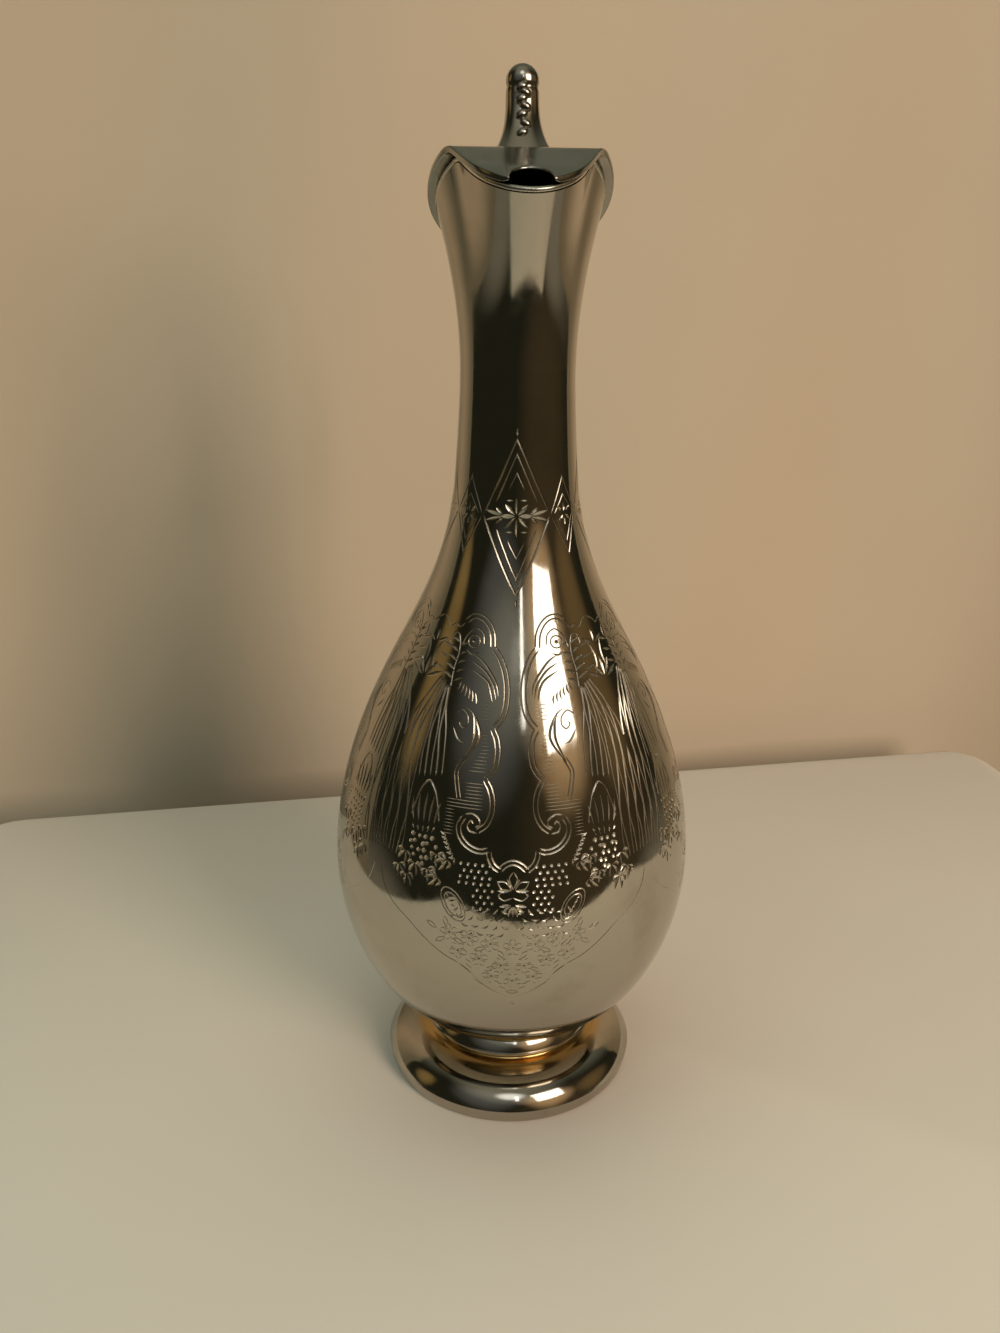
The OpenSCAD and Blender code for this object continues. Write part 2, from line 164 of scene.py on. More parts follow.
def lofted(rings, ends):
    """Skin over rings with the same number of points, joined into a loop or filled at both ends"""
    bm = bmesh.new()
    loops = [ring(bm, points) for points in rings]
    pairs = list(zip(loops, loops[1:]))
    if ends == "joined":
        pairs.append((loops[-1], loops[0]))
    for a, b in pairs:
        bmesh.ops.bridge_loops(bm, edges=a + b)
    if ends == "filled":
        for end in (loops[0], loops[-1]):
            bmesh.ops.edgeloop_fill(bm, edges=end)
    face_outwards(bm)
    return bm


def turned(outline):
    """Round shape from an outline of radius and height"""
    bm = bmesh.new()
    verts = [bm.verts.new((r, 0, z)) for r, z in outline]
    edges = [bm.edges.new(pair) for pair in zip(verts, verts[1:])]
    bmesh.ops.spin(bm, geom=verts + edges, cent=(0, 0, 0), axis=(0, 0, 1), angle=2 * pi, steps=TURNED_STEPS,
                   use_merge=True)
    bmesh.ops.remove_doubles(bm, verts=bm.verts, dist=0.0005)
    face_outwards(bm)
    return bm


def everything(bm):
    return bm.verts[:] + bm.edges[:] + bm.faces[:]


def turn_about(bm, axis, angle, verts):
    bmesh.ops.rotate(bm, cent=(0, 0, 0), matrix=Matrix.Rotation(radians(angle), 3, axis), verts=verts)


def hard_edges(bm, angle):
    bm.normal_update()
    return [e for e in bm.edges if len(e.link_faces) == 2 and e.calc_face_angle() > angle]


def round_edges(bm, edges, by, segments, clamped=False):
    bmesh.ops.bevel(bm, geom=edges, offset=by, offset_type="OFFSET", segments=segments, profile=0.5,
                    affect="EDGES", clamp_overlap=clamped, material=-1)


def bead(bm, at, radius, stretch=(1, 1, 1), lean=0):
    """Round bead, stretched and then leaning about Y"""
    made = bmesh.ops.create_uvsphere(bm, u_segments=14, v_segments=8, radius=radius)["verts"]
    bmesh.ops.scale(bm, vec=stretch, verts=made)
    turn_about(bm, "Y", lean, made)
    bmesh.ops.translate(bm, vec=at, verts=made)


def made_object(name, bm, material, sharp):
    mesh = bpy.data.meshes.new(name)
    bm.to_mesh(mesh)
    bm.free()
    mesh.shade_smooth()
    mesh.set_sharp_from_angle(angle=radians(sharp))
    mesh.materials.append(material)
    made = bpy.data.objects.new(name, mesh)
    bpy.context.collection.objects.link(made)
    return made


def finish_piece(name, bm, material, body, slot, *nodes, sharp=40):
    """A mesh drawn in millimetres becomes a piece that rides on a body and stands for CAD nodes"""
    bmesh.ops.scale(bm, vec=(MM, MM, MM), verts=bm.verts)
    piece = made_object(name, bm, material, sharp)
    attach(piece, body)
    if nodes:
        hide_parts(*nodes)
    return piece


# Materials

def node(tree, kind, values=None, **settings):
    """A shader node with its settings and the values of its inputs"""
    made = tree.nodes.new(kind)
    for key, value in settings.items():
        setattr(made, key, value)
    for key, value in (values or {}).items():
        made.inputs[key].default_value = value
    return made


def mixed(tree, factor, a, b, **settings):
    """A mix of two colours, each of them a tone or the output of another node"""
    mix = node(tree, "ShaderNodeMix", data_type="RGBA", **settings)
    tree.links.new(factor, mix.inputs["Factor"])
    for name, colour in (("A", a), ("B", b)):
        if isinstance(colour, tuple):
            mix.inputs[name].default_value = (*colour, 1)
        else:
            tree.links.new(colour, mix.inputs[name])
    return mix.outputs["Result"]


def new_material(name):
    """A material with its node tree and its shader"""
    material = bpy.data.materials.new(name)
    material.use_nodes = True
    return material, material.node_tree, material.node_tree.nodes["Principled BSDF"]


def plate_wear_group():
    """Clouded tarnish, uneven polish and hairline scratches of worn silver plate"""
    tree = bpy.data.node_groups.new("plate_wear", "ShaderNodeTree")
    face = tree.interface
    for label, start in (("Cloud Scale", 60.0), ("Scratch Scale", 900.0), ("Tarnish", 0.5)):
        face.new_socket(label, in_out="INPUT", socket_type="NodeSocketFloat").default_value = start
    for label in ("Tarnish Mask", "Polish", "Scratches"):
        face.new_socket(label, in_out="OUTPUT", socket_type="NodeSocketFloat")
    link = tree.links.new
    group_in, group_out = node(tree, "NodeGroupInput"), node(tree, "NodeGroupOutput")
    place = node(tree, "ShaderNodeTexCoord").outputs["Object"]
    cloud = node(tree, "ShaderNodeTexNoise", {"Detail": 6, "Roughness": 0.62})
    link(place, cloud.inputs["Vector"])
    link(group_in.outputs["Cloud Scale"], cloud.inputs["Scale"])
    ramp = node(tree, "ShaderNodeMapRange", {"From Min": 0.46, "From Max": 0.74},
                interpolation_type="SMOOTHSTEP")
    link(cloud.outputs["Fac"], ramp.inputs["Value"])
    amount = node(tree, "ShaderNodeMath", operation="MULTIPLY")
    link(ramp.outputs["Result"], amount.inputs[0])
    link(group_in.outputs["Tarnish"], amount.inputs[1])
    link(amount.outputs[0], group_out.inputs["Tarnish Mask"])
    fine = node(tree, "ShaderNodeTexNoise", {"Scale": 320, "Detail": 4})
    link(place, fine.inputs["Vector"])
    link(fine.outputs["Fac"], group_out.inputs["Polish"])
    stretch = node(tree, "ShaderNodeMapping", {"Rotation": (0.4, 0.9, 0.3), "Scale": (1, 0.06, 0.25)})
    link(place, stretch.inputs["Vector"])
    hair = node(tree, "ShaderNodeTexNoise", {"Detail": 2})
    link(stretch.outputs["Vector"], hair.inputs["Vector"])
    link(group_in.outputs["Scratch Scale"], hair.inputs["Scale"])
    link(hair.outputs["Fac"], group_out.inputs["Scratches"])
    return tree


plate_wear = plate_wear_group()
SCRATCH_DEPTH = 0.00002


def worn_silver(name, silver, tarnish, tarnished, rough, scratch, mark=None, mark_tone=None, mark_dull=0):
    """Worn silver plate; rough is its lowest and highest roughness, mark an attribute with its own tone"""
    material, tree, shader = new_material(name)
    link = tree.links.new
    shader.inputs["Metallic"].default_value = 1.0
    wear = node(tree, "ShaderNodeGroup", {"Tarnish": tarnished}, node_tree=plate_wear)
    colour = mixed(tree, wear.outputs["Tarnish Mask"], silver, tarnish)
    polish = node(tree, "ShaderNodeMapRange",
                  {"From Min": 0.3, "From Max": 0.7, "To Min": rough[0], "To Max": rough[1]})
    link(wear.outputs["Polish"], polish.inputs["Value"])
    gloss = polish.outputs["Result"]
    if mark:
        marked = node(tree, "ShaderNodeAttribute", attribute_name=mark).outputs["Fac"]
        colour = mixed(tree, marked, colour, mark_tone)
        dull = node(tree, "ShaderNodeMath", {1: mark_dull}, operation="MULTIPLY_ADD")
        link(marked, dull.inputs[0])
        link(gloss, dull.inputs[2])
        gloss = dull.outputs[0]
    link(colour, shader.inputs["Base Color"])
    link(gloss, shader.inputs["Roughness"])
    bump = node(tree, "ShaderNodeBump", {"Strength": scratch, "Distance": SCRATCH_DEPTH})
    link(wear.outputs["Scratches"], bump.inputs["Height"])
    link(bump.outputs["Normal"], shader.inputs["Normal"])
    return material


SILVER, DULL_SILVER = (0.48, 0.44, 0.37), (0.42, 0.41, 0.36)
BROWN_TARNISH, GREY_TARNISH = (0.30, 0.24, 0.16), (0.33, 0.31, 0.26)
engraved_silver = worn_silver("engraved_silver", SILVER, BROWN_TARNISH, 0.35, (0.05, 0.11), 0.25,
                              "groove", (0.62, 0.54, 0.42), 0.4)
mouth_silver = worn_silver("mouth_silver", SILVER, GREY_TARNISH, 0.5, (0.09, 0.17), 0.35)
lid_silver = worn_silver("lid_silver", DULL_SILVER, GREY_TARNISH, 0.6, (0.14, 0.24), 0.4)
foot_silver = worn_silver("foot_silver", SILVER, BROWN_TARNISH, 0.4, (0.06, 0.13), 0.3,
                          "gilt", (0.52, 0.35, 0.14), 0.08)
rim_silver = worn_silver("rim_silver", (0.72, 0.68, 0.59), GREY_TARNISH, 0.3, (0.2, 0.3), 0.3)
cast_silver = worn_silver("cast_silver", SILVER, BROWN_TARNISH, 0.6, (0.10, 0.2), 0.4)
pin_steel = worn_silver("pin_steel", (0.5, 0.49, 0.47), GREY_TARNISH, 0.4, (0.2, 0.32), 0.6)


# Engraving: every cut is a row of points as turn and climb, each with half the cut's width in millimetres

cuts = []
HAIR, FINE, PLAIN, BOLD, BROAD = 0.24, 0.34, 0.42, 0.52, 0.66
SHARP = 0.02
PANEL = pi / 4
FAR_ENOUGH, BENT_ENOUGH, TOO_CLOSE = 0.9, 0.3, 0.12


def radius_at(climb):
    return np.interp(climb, skin_climb, skin_r)


def on_skin(points):
    """Points drawn as degrees and height, as turn and climb"""
    return np.array([(radians(a), climb_at(z)) for a, z in points])


def thinned(path):
    """Keeps points of a dense path where it has gone far enough or bent enough"""
    kept, gone, turned_by = [0], 0.0, 0.0
    for i in range(1, len(path) - 1):
        a, b = path[i] - path[i - 1], path[i + 1] - path[i]
        gone += hypot(*a) * radius_at(path[i][1])
        turned_by += abs((np.arctan2(b[1], b[0]) - np.arctan2(a[1], a[0]) + pi) % (2 * pi) - pi)
        if gone > FAR_ENOUGH or (turned_by > BENT_ENOUGH and gone > TOO_CLOSE):
            kept.append(i)
            gone, turned_by = 0.0, 0.0
    return path[kept + [len(path) - 1]]


def smooth(path, closed=False):
    """Smooth curve through a few points"""
    p = np.array(path, float)
    ends = (p[-2], p[1]) if closed else (2 * p[0] - p[1], 2 * p[-1] - p[-2])
    p = np.vstack([ends[0], p, ends[1]])
    dense = []
    for a, b, c, d in zip(p, p[1:], p[2:], p[3:]):
        for s in np.arange(0, 1, 0.1):
            dense.append(b + 0.5 * s * (c - a + s * (2 * a - 5 * b + 4 * c - d + s * (3 * (b - c) + d - a))))
    dense.append(p[-2])
    return thinned(np.array(dense))


def beside(path, gap):
    """A path moved sideways by a gap in millimetres"""
    return path + sides(path) * (gap / radius_at(path[:, 1]))[:, None]


def cut(path, width, form="plain"):
    """A cut of one width with sharp ends, a closed one, or one that swells to its middle like a leaf"""
    half = np.full(len(path), width / 2)
    if form == "leaf":
        gone = gone_along(path)
        half = half * np.sin(pi * gone / gone[-1]).clip(0) ** 0.8
    if form != "closed":
        half[[0, -1]] = SHARP
    cuts.append((path, half))


def line(points, width):
    """Straight cuts from point to point"""
    for a, b in zip(on_skin(points), on_skin(points)[1:]):
        count = max(3, int(hypot(*(b - a)) * radius_at(a[1]) / 1.6) + 1)
        cut(a + (b - a) * np.linspace(0, 1, count)[:, None], width)


def curve(points, width=PLAIN, form="plain"):
    cut(smooth(on_skin(points)), width, form)


def strap(points, gap=1.2, width=BOLD):
    """Two cuts side by side"""
    path = smooth(on_skin(points))
    for side in (-0.5, 0.5):
        cut(beside(path, side * gap), width)


def stamp(shape, at, lean, width, form="plain"):
    """A small shape drawn in millimetres, leaning clockwise by an angle, set down at a place"""
    turn, climb = on_skin([at])[0]
    c, s = cos(radians(lean)), sin(radians(lean))
    r = radius_at(climb)
    path = np.array([(turn + (c * x + s * y) / r, climb + (c * y - s * x) / r) for x, y in shape])
    cut(smooth(path, form == "closed"), width, form)


def leaf(at, lean, start, length, broad, bow=0.0):
    """One cut that swells like a leaf, with a bend to one side"""
    stamp([(0, start), (bow, start + length / 2), (0, start + length)], at, lean, broad, "leaf")


def petal(at, lean, start, length, broad, width):
    """Pointed leaf outlined by two bowed cuts"""
    middle = start + 0.55 * length
    for side in (-0.5, 0.5):
        stamp([(0, start), (side * broad, middle), (0, start + length)], at, lean, width)


def oval(at, wide, tall, lean=0):
    stamp([(wide * cos(k * pi / 4), tall * sin(k * pi / 4)) for k in range(9)], at, lean, PLAIN, "closed")


def dot(at, size=1.0):
    """Round pit"""
    turn, climb = on_skin([at])[0]
    across = np.array((-1, -0.75, 0, 0.75, 1)) * size / 2
    path = np.stack([turn + across / radius_at(climb), np.full(5, climb)], 1)
    cuts.append((path, np.array((SHARP, 0.33 * size, 0.5 * size, 0.33 * size, SHARP))))


def reeds(left, right, count, sway, wave):
    """Flowing lines side by side between two edges, swaying against each other so that they make a chain"""
    left, right = np.array(left, float), np.array(right, float)
    for k in range(count):
        path = left + (right - left) * k / (count - 1)
        path[1:-1, 0] += sway * np.sin(2 * pi * path[1:-1, 1] / wave + pi * k)
        curve(path, BROAD if k % 2 else 0.5)


def neck_lozenges():
    # A line that runs past the middle of the panel meets its mirror image in a sharp point
    line([(-2, 206), (29.5, 184.5), (-2, 162.4)], BROAD)
    line([(-2, 202.2), (18.5, 188)], BOLD)
    line([(16.5, 181), (-2, 166.4)], BOLD)
    line([(-2, 197.2), (7.5, 191)], PLAIN)
    line([(7, 178), (-2, 172.2)], PLAIN)
    for z in (206.6, 161.9):
        leaf((0, z), 0, -1.2, 2.4, 0.8)
    for k in range(8):
        leaf((0, 184.4), 45 * k, 0.5, 4 if k % 4 else 4.8, 1.2)
    for lean, length in ((50, 2.6), (76, 4.8), (104, 4.8), (130, 2.6)):
        leaf((10, 184.4), lean, 0.8, length, 0.9)
    for z in (180.2, 188.6):
        leaf((6, z), 90, -0.9, 1.8, 0.5)
    line([(30.5, 184.5), (47, 195.6)], PLAIN)
    line([(30.5, 184.5), (47, 172.4)], PLAIN)
    line([(34, 184.5), (47, 190.6)], FINE)
    line([(34, 184.5), (47, 176)], FINE)
    for lean in (-50, 0, 180, 230):
        leaf((45, 184.4), lean, 0.6, 2.4, 0.9)


def strap_border():
    strap([(29, 156.6), (25.5, 158.2), (20.5, 158.3), (15.8, 157), (12.3, 154.4), (11.2, 151)])
    strap([(11.2, 151), (7.6, 148.8), (4.9, 145.6), (3.5, 141.5), (3.7, 137.4), (5.3, 134.1), (8.4, 131.6)])
    strap([(8.4, 131.6), (6.6, 129.3), (5.9, 126.2), (6.4, 123), (8, 120.6), (9.8, 119.3)])
    strap([(9.8, 119.3), (7.9, 117), (6.9, 113.8), (7.2, 110.4), (8.8, 107.5), (11.2, 105.9)])
    curve([(11.2, 105.4), (13.6, 105.8), (14.5, 107.3), (13.4, 108.5), (12.6, 107.8)], BOLD)
    strap([(7.4, 101.3), (10, 100.7), (13.6, 101.7), (16.4, 104), (17.2, 107), (15.6, 109.4)])
    curve([(15.6, 110), (13, 110.3), (10.9, 109.2), (10.6, 107.6), (12, 106.9)], BOLD)
    strap([(7.4, 101.3), (7.1, 99.2), (5.9, 97.2), (4, 95.9)])
    strap([(4, 95.9), (2.2, 97.5), (0, 98.2), (-2, 97.6)])


def leaf_spray():
    oval((21.8, 152.2), 1.7, 1.7)
    dot((21.8, 152.2), 1.2)
    curve([(28.5, 150.4), (26.4, 153.6), (22, 155.4), (17.4, 154.2), (16, 151.6)], PLAIN)
    curve([(18, 149.6), (22, 149), (25.4, 150)], 0.6, "leaf")
    for top, foot in (((22.5, 149.4), (7, 139.4)), ((21.5, 147.4), (8, 138.6)), ((20.6, 145.4), (9.4, 138))):
        curve([top, (top[0] - 7, top[1] - 2), (foot[0] + 1.6, foot[1] + 3.4), foot], 0.75, "leaf")
    for k in range(6):
        leaf((24.6 - 1.5 * k, 142.6 - 0.55 * k), 168 + 5 * k, 0, 3, 0.6, 0.3)
    for k in range(5):
        leaf((29, 141.6 + 2.2 * k), -62, 0.4, 3 - 0.2 * k, 0.8, 0.4)
        leaf((29, 142.2 + 2.2 * k), 64, 0.4, 3.8 - 0.2 * k, 0.9, -0.4)
    curve([(29, 140.4), (29.6, 145), (29, 149.6), (31, 153.2), (34.8, 153.4), (35.6, 151.2), (33.8, 150.6)])


def stem_and_hatching():
    curve([(24.6, 134.2), (21.6, 135.6), (18.7, 134.2), (18.3, 132.3), (20, 131.2), (21.7, 132.2),
           (20.9, 133.2)])
    for foot in (13.4, 15.2):
        curve([(20.6, 136.4), (16.6, 134.8), (foot, 131), (foot + 0.4, 128), (18.6, 122.8)], 0.8, "leaf")
    strap([(17.6, 124.4), (19.9, 121), (19.5, 118.2), (18, 113.6)], 1.0, PLAIN)
    curve([(24, 131), (21, 128.2), (18.4, 127.6)], 0.7, "leaf")
    for z in np.arange(133.8, 138, 0.9):
        line([(8.6, z), (14.6, z + 0.2)], HAIR)
    for z in np.arange(121, 130.2, 0.9):
        line([(8.8 + 0.15 * abs(z - 126), z), (12.6 if z > 126 else 12.6 + 0.7 * (126 - z), z)], HAIR)
    for z in np.arange(104.4, 118, 0.9):
        line([(9.8 if z > 111 else 18.8, z), (16.6 if z > 113.6 else 22.4, z)], HAIR)


def long_reeds():
    reeds([(29.4, 141), (28.6, 136), (27.2, 130), (25.8, 124), (25.2, 118.6)],
          [(31.6, 141), (33.2, 136), (34.4, 130), (34.6, 124), (33.8, 117)], 5, 0.5, 19)
    heights = np.array((142, 136, 130, 124, 118, 112, 106, 100, 93.6))
    inner = (31.8, 34.2, 36, 36.4, 36, 35.4, 35.2, 35.6, 36.8)
    outer = (34.6, 40.4, 43.6, 44.4, 44, 44.4, 44, 44.4, 44)
    reeds(list(zip(inner, heights)), list(zip(outer, heights + 1)), 6, 0.75, 33)
    curve([(29, 156.6), (32, 155.2), (35, 155.7), (38, 154.9), (41.4, 156.4), (45, 157.2)])
    curve([(37, 151.6), (40.4, 150.6), (42.6, 147.4), (41.6, 144), (39, 142)], 0.7, "leaf")
    for lean in (-64, -32, 0):
        leaf((45, 141), lean, 1, 5.6, 1.1)
    for lean in (-60, 0):
        leaf((45, 150), lean, 0.6, 3.8, 0.9)
    for z in (144.6, 147.6, 150.4):
        leaf((37, z), 74, -1.6, 3.4, 0.8)


def bell_and_grapes():
    curve([(23.8, 106.6), (25, 111), (26.6, 114.6), (29.2, 116.8), (31.8, 114.8), (33.2, 111),
           (34.2, 107)], 0.6)
    for a, lean, length in ((25.6, -12, 7), (27.4, -5, 8.4), (29.2, 0, 9), (31, 6, 8.4), (32.8, 12, 7)):
        leaf((a, 105.6), lean, 0, length, 0.9, 0.3)
    for k in range(5):
        leaf((25 + 2.1 * k, 105.2), 180 + 14 * (k - 2), 0, 2, 0.8)
    for row, count in enumerate((4, 5, 4, 3, 2)):
        for k in range(count):
            jog = 0.4 * sin(5 * row + 3 * k)
            at = (28.8 + 2.2 * (k - (count - 1) / 2) + jog, 102 - 1.9 * row + 0.5 * jog)
            dot(at, 1.5 - 0.15 * ((row + k) % 3))
    for k in range(6):
        leaf((21.2 - 0.7 * k, 103.8 - 1.2 * k), 64 + 4 * k, -0.4, 2.2, 0.8)
        leaf((21.2 - 0.7 * k, 103.6 - 1.2 * k), 150 + 4 * k, -0.2, 1.8, 0.7)
    for a, z, lean in ((34.4, 97, 160), (23.6, 98.4, 200), (36.6, 92.6, 200), (30.6, 94.4, 170),
                       (26.4, 93.8, 205), (20, 97.4, 130), (22.6, 92, 120), (33.4, 90.6, 190)):
        for turn, length in ((-46, 2.6), (-16, 4), (16, 4), (46, 2.6)):
            leaf((a, z), lean + turn, 0.3, length, 1.0, 0.02 * turn)


def dotted_field():
    for row, z in enumerate(np.arange(97, 84.6, -1.75)):
        first = 6.8 if z > 93 else 6
        last = 16 if z > 90 else 12
        for a in np.arange(first + 1.1 * (row % 2), last, 2.2):
            dot((a, z))


def palmette_and_blossoms():
    for lean, length in ((0, 5.2), (58, 4.8)):
        petal((0, 90.2), lean, 0.4, length, 2.2, PLAIN)
    leaf((0, 90.4), 29, 1.2, 2.6, 0.8)
    leaf((0, 90.4), 92, 0.7, 3.6, 1.1)
    curve([(0, 88.4), (2.6, 87.6), (4.2, 88.8), (3.2, 89.8)])
    for lean in (100, 130, 160, 180):
        leaf((0, 86.4), lean, 0.6, 3.2, 1.0)
    for grow in (1, 0.7):
        oval((17.6, 85), 2.8 * grow, 5.2 * grow, 30)
    for k in range(-2, 3):
        leaf((17.6, 85), 30, 1.5 * k - 0.8, 1.6, 0.6, 0.3)
    for row in range(4):
        for k in range(6 - row // 2):
            at = (2.2 + 2.9 * k + 1.4 * (row % 2), 84.2 - 2.3 * row)
            leaf(at, 70 + 24 * ((2 * row + 3 * k) % 4), -1.2, 2.4, 0.7, 0.3)
    for a, z, lean in ((0, 73.4, 0), (6.4, 74.4, 20), (12.6, 75.6, 50), (18.6, 76.4, 10), (3.4, 67.4, 30),
                       (9.8, 69.2, 0), (16, 71, 40), (0, 62, 36), (6.2, 63.4, 15)):
        for k in range(5):
            petal((a, z), lean + 72 * k, 0.5, 2.4, 1.7, HAIR)
        dot((a, z), 0.8)
    for a, z, lean in ((3.2, 71, 40), (9.4, 72.4, 110), (15.6, 74, 60), (21.4, 73.6, 120), (6.6, 66, 120),
                       (12.8, 67, 30), (3.2, 60, 50), (0, 57.6, 90), (19.6, 79.4, 20), (24, 77.6, 60)):
        petal((a, z), lean, -1.8, 3.6, 1.3, HAIR)


def pointed_edge():
    curve([(43.6, 89.6), (41.6, 84.6), (37.6, 80.2), (32, 76.8), (27, 73), (21.4, 69.2), (15.8, 66.6)], HAIR)
    curve([(15.8, 66.6), (12.8, 64.4), (10.6, 61.4), (6, 58), (0, 54.2), (-4, 51.8)], PLAIN)
    dot((0, 52.4), 1.5)


for draw in (neck_lozenges, strap_border, leaf_spray, stem_and_hatching, long_reeds, bell_and_grapes,
             dotted_field, palmette_and_blossoms, pointed_edge):
    draw()


def split_at_edges(path, widths):
    """Runs of a path that lie inside the half panel, ended exactly on its edges"""
    runs, run = [], []
    for i, (p, w) in enumerate(zip(path, widths)):
        if i:
            q, v = path[i - 1], widths[i - 1]
            for edge in (0.0, PANEL):
                if (q[0] - edge) * (p[0] - edge) < 0:
                    s = (edge - q[0]) / (p[0] - q[0])
                    run.append(((edge, q[1] + s * (p[1] - q[1])), v + s * (w - v)))
        run.append((tuple(p), w))
    for p, w in run:
        if -1e-9 <= p[0] <= PANEL + 1e-9:
            if not runs or runs[-1] is None:
                runs.append([])
            runs[-1].append((p, w))
        elif runs and runs[-1] is not None:
            runs.append(None)
    return [r for r in runs if r and len(r) > 1]


# Depth of a groove as a share of its width, and the depth from which it has its full tone
GROOVE_DEPTH, TONED_DEPTH = 0.26, 0.1
# Points of the plain skin, their distance from a groove, and the climb within which grooves are sought
PANEL_COLUMNS, BOWL_ROWS, NECK_ROWS, CLEARANCE, NEARBY = 21, 40, 141, 0.35, 0.08


def engraved_patch():
    """The skin of half a panel with its grooves: places as turn and climb, depths, and triangles"""
    points, edges, segments, tips = [], [], [], set()

    def add(run, start=1.0, end=1.0):
        first = len(points)
        points.extend(tuple(p) for p in run)
        edges.extend((k, k + 1) for k in range(first, len(points) - 1))
        tips.update(k for k, w in ((first, start), (len(points) - 1, end)) if w <= SHARP)

    for path, widths in cuts:
        for run in split_at_edges(path, widths):
            places = np.array([p for p, w in run])
            half = np.array([w for p, w in run]) / radius_at(places[:, 1])
            across = sides(places) * half[:, None]
            for side in (0, -1, 1):
                row = places + side * across
                row[:, 0] = np.clip(row[:, 0], 0, PANEL)
                add(row, run[0][1], run[-1][1])
            segments += list(zip(places, places[1:], half, half[1:]))
    start, end, half_0, half_1 = (np.array(column) for column in zip(*segments))
    step = end - start
    square = np.maximum((step ** 2).sum(1), 1e-12)

    def depth_at(places):
        """How far each place is inside its deepest groove, and how far it is clear of them all"""
        deepest = np.zeros(len(places))
        clear = np.full(len(places), np.inf)
        for k in np.array_split(np.argsort(places[:, 1]), max(1, len(places) // 300)):
            low, high = places[k, 1].min() - NEARBY, places[k, 1].max() + NEARBY
            near = (np.minimum(start[:, 1], end[:, 1]) < high) & (np.maximum(start[:, 1], end[:, 1]) > low)
            if not near.any():
                continue
            gap = places[k][:, None, :] - start[near][None]
            s = np.clip((gap * step[near]).sum(2) / square[near], 0, 1)
            away = np.hypot(*np.moveaxis(gap - s[..., None] * step[near], 2, 0))
            half = half_0[near] + s * (half_1[near] - half_0[near])
            deepest[k] = np.maximum(half - away, 0).max(1)
            clear[k] = (away - half).min(1)
        return deepest, clear

    columns = np.linspace(0, PANEL, PANEL_COLUMNS)
    seam = climb_at(BELLY_Z)
    rows = np.concatenate([np.linspace(0, seam, BOWL_ROWS), np.linspace(seam, skin_climb[-1], NECK_ROWS)[1:]])
    grid = np.array([(a, b) for b in rows for a in columns])
    clear = depth_at(grid)[1] * radius_at(grid[:, 1])
    rim = (grid[:, 0] < 1e-9) | (grid[:, 0] > PANEL - 1e-9) | (abs(grid[:, 1] - seam) < 1e-9)
    points.extend(tuple(p) for p in grid[(clear > CLEARANCE) | rim])
    add([(a, seam) for a in columns])
    found = delaunay_2d_cdt([Vector(p) for p in points], edges, [], 0, 1e-5, True)
    places = np.array([tuple(p) for p in found[0]])
    depth = depth_at(places)[0] * radius_at(places[:, 1]) * GROOVE_DEPTH * 2
    depth[[any(k in tips for k in came_from) for came_from in found[3]]] = 0
    # Slivers along the panel's straight edges would stand off the skin
    triangles = [t for t in found[2] if np.ptp(places[list(t), 0]) > 1e-6]
    return places, depth, triangles


def skin_place(turn, climb, depth):
    r, z, out, up = (np.interp(climb, skin_climb, row) for row in (skin_r, skin_z, skin_out, skin_up))
    r, z = r - depth * out, z - depth * up
    return Vector((r * sin(turn), -r * cos(turn), z))


def engraved_skin():
    """The whole engraved outside, mirrored from half a panel and set down four times round"""
    places, depth, triangles = engraved_patch()
    bm = bmesh.new()
    groove = bm.verts.layers.float.new("groove")
    verts = []
    for (turn, climb), d in zip(places, depth):
        v = bm.verts.new(skin_place(turn, climb, d))
        v[groove] = min(d / TONED_DEPTH, 1)
        verts.append(v)
    for t in triangles:
        bm.faces.new([verts[k] for k in t])
    bmesh.ops.mirror(bm, geom=everything(bm), matrix=Matrix(), merge_dist=0.0005, axis="X")
    bmesh.ops.spin(bm, geom=everything(bm), cent=(0, 0, 0), axis=(0, 0, 1), angle=1.5 * pi, steps=3,
                   use_duplicate=True)
    bmesh.ops.remove_doubles(bm, verts=bm.verts, dist=0.0008)
    face_outwards(bm)
    return bm


def open_rim(bm, z):
    """The open edges of a skin at a height"""
    return [e for e in bm.edges if e.is_boundary and all(abs(v.co.z - z) < 0.01 for v in e.verts)]


def wall_in(bm, rim, outline):
    """Extends an open rim along an outline of radius and height"""
    for r, z in outline:
        made = bmesh.ops.extrude_edge_only(bm, edges=rim)["geom"]
        for v in made:
            if isinstance(v, bmesh.types.BMVert):
                flat = hypot(v.co.x, v.co.y)
                v.co = (v.co.x * r / flat, v.co.y * r / flat, z)
        rim = [e for e in made if isinstance(e, bmesh.types.BMEdge)]
    return rim


def inside(points):
    """An outline moved inwards by the wall"""
    return points + WALL * sides(points)


def set_plate_normals(piece):
    """True normals of the turned skin, and flat ones in the grooves"""
    mesh = piece.data
    co = np.array([v.co for v in mesh.vertices]) / MM
    at = np.array([corner.vertex_index for corner in mesh.loops])
    flat = np.array([p.normal for p in mesh.polygons])
    face = np.repeat(np.arange(len(mesh.polygons)), [p.loop_total for p in mesh.polygons])
    depth = np.array([d.value for d in mesh.attributes["groove"].data])
    cut_face = np.zeros(len(mesh.polygons), bool)
    np.logical_or.at(cut_face, face, depth[at] > 0.01)
    p = co[at]
    r = np.hypot(p[:, 0], p[:, 1])
    out = np.interp(p[:, 2], skin_z, skin_out)
    up = np.interp(p[:, 2], skin_z, skin_up)
    true = np.stack([p[:, 0] / r * out, p[:, 1] / r * out, up], 1)
    facing = (true * flat[face]).sum(1)
    normals = np.where((facing > 0)[:, None], true, -true)
    plain = cut_face[face] | (abs(facing) < 0.9)
    normals[plain] = flat[face][plain]
    mesh.normals_split_custom_set(normals)


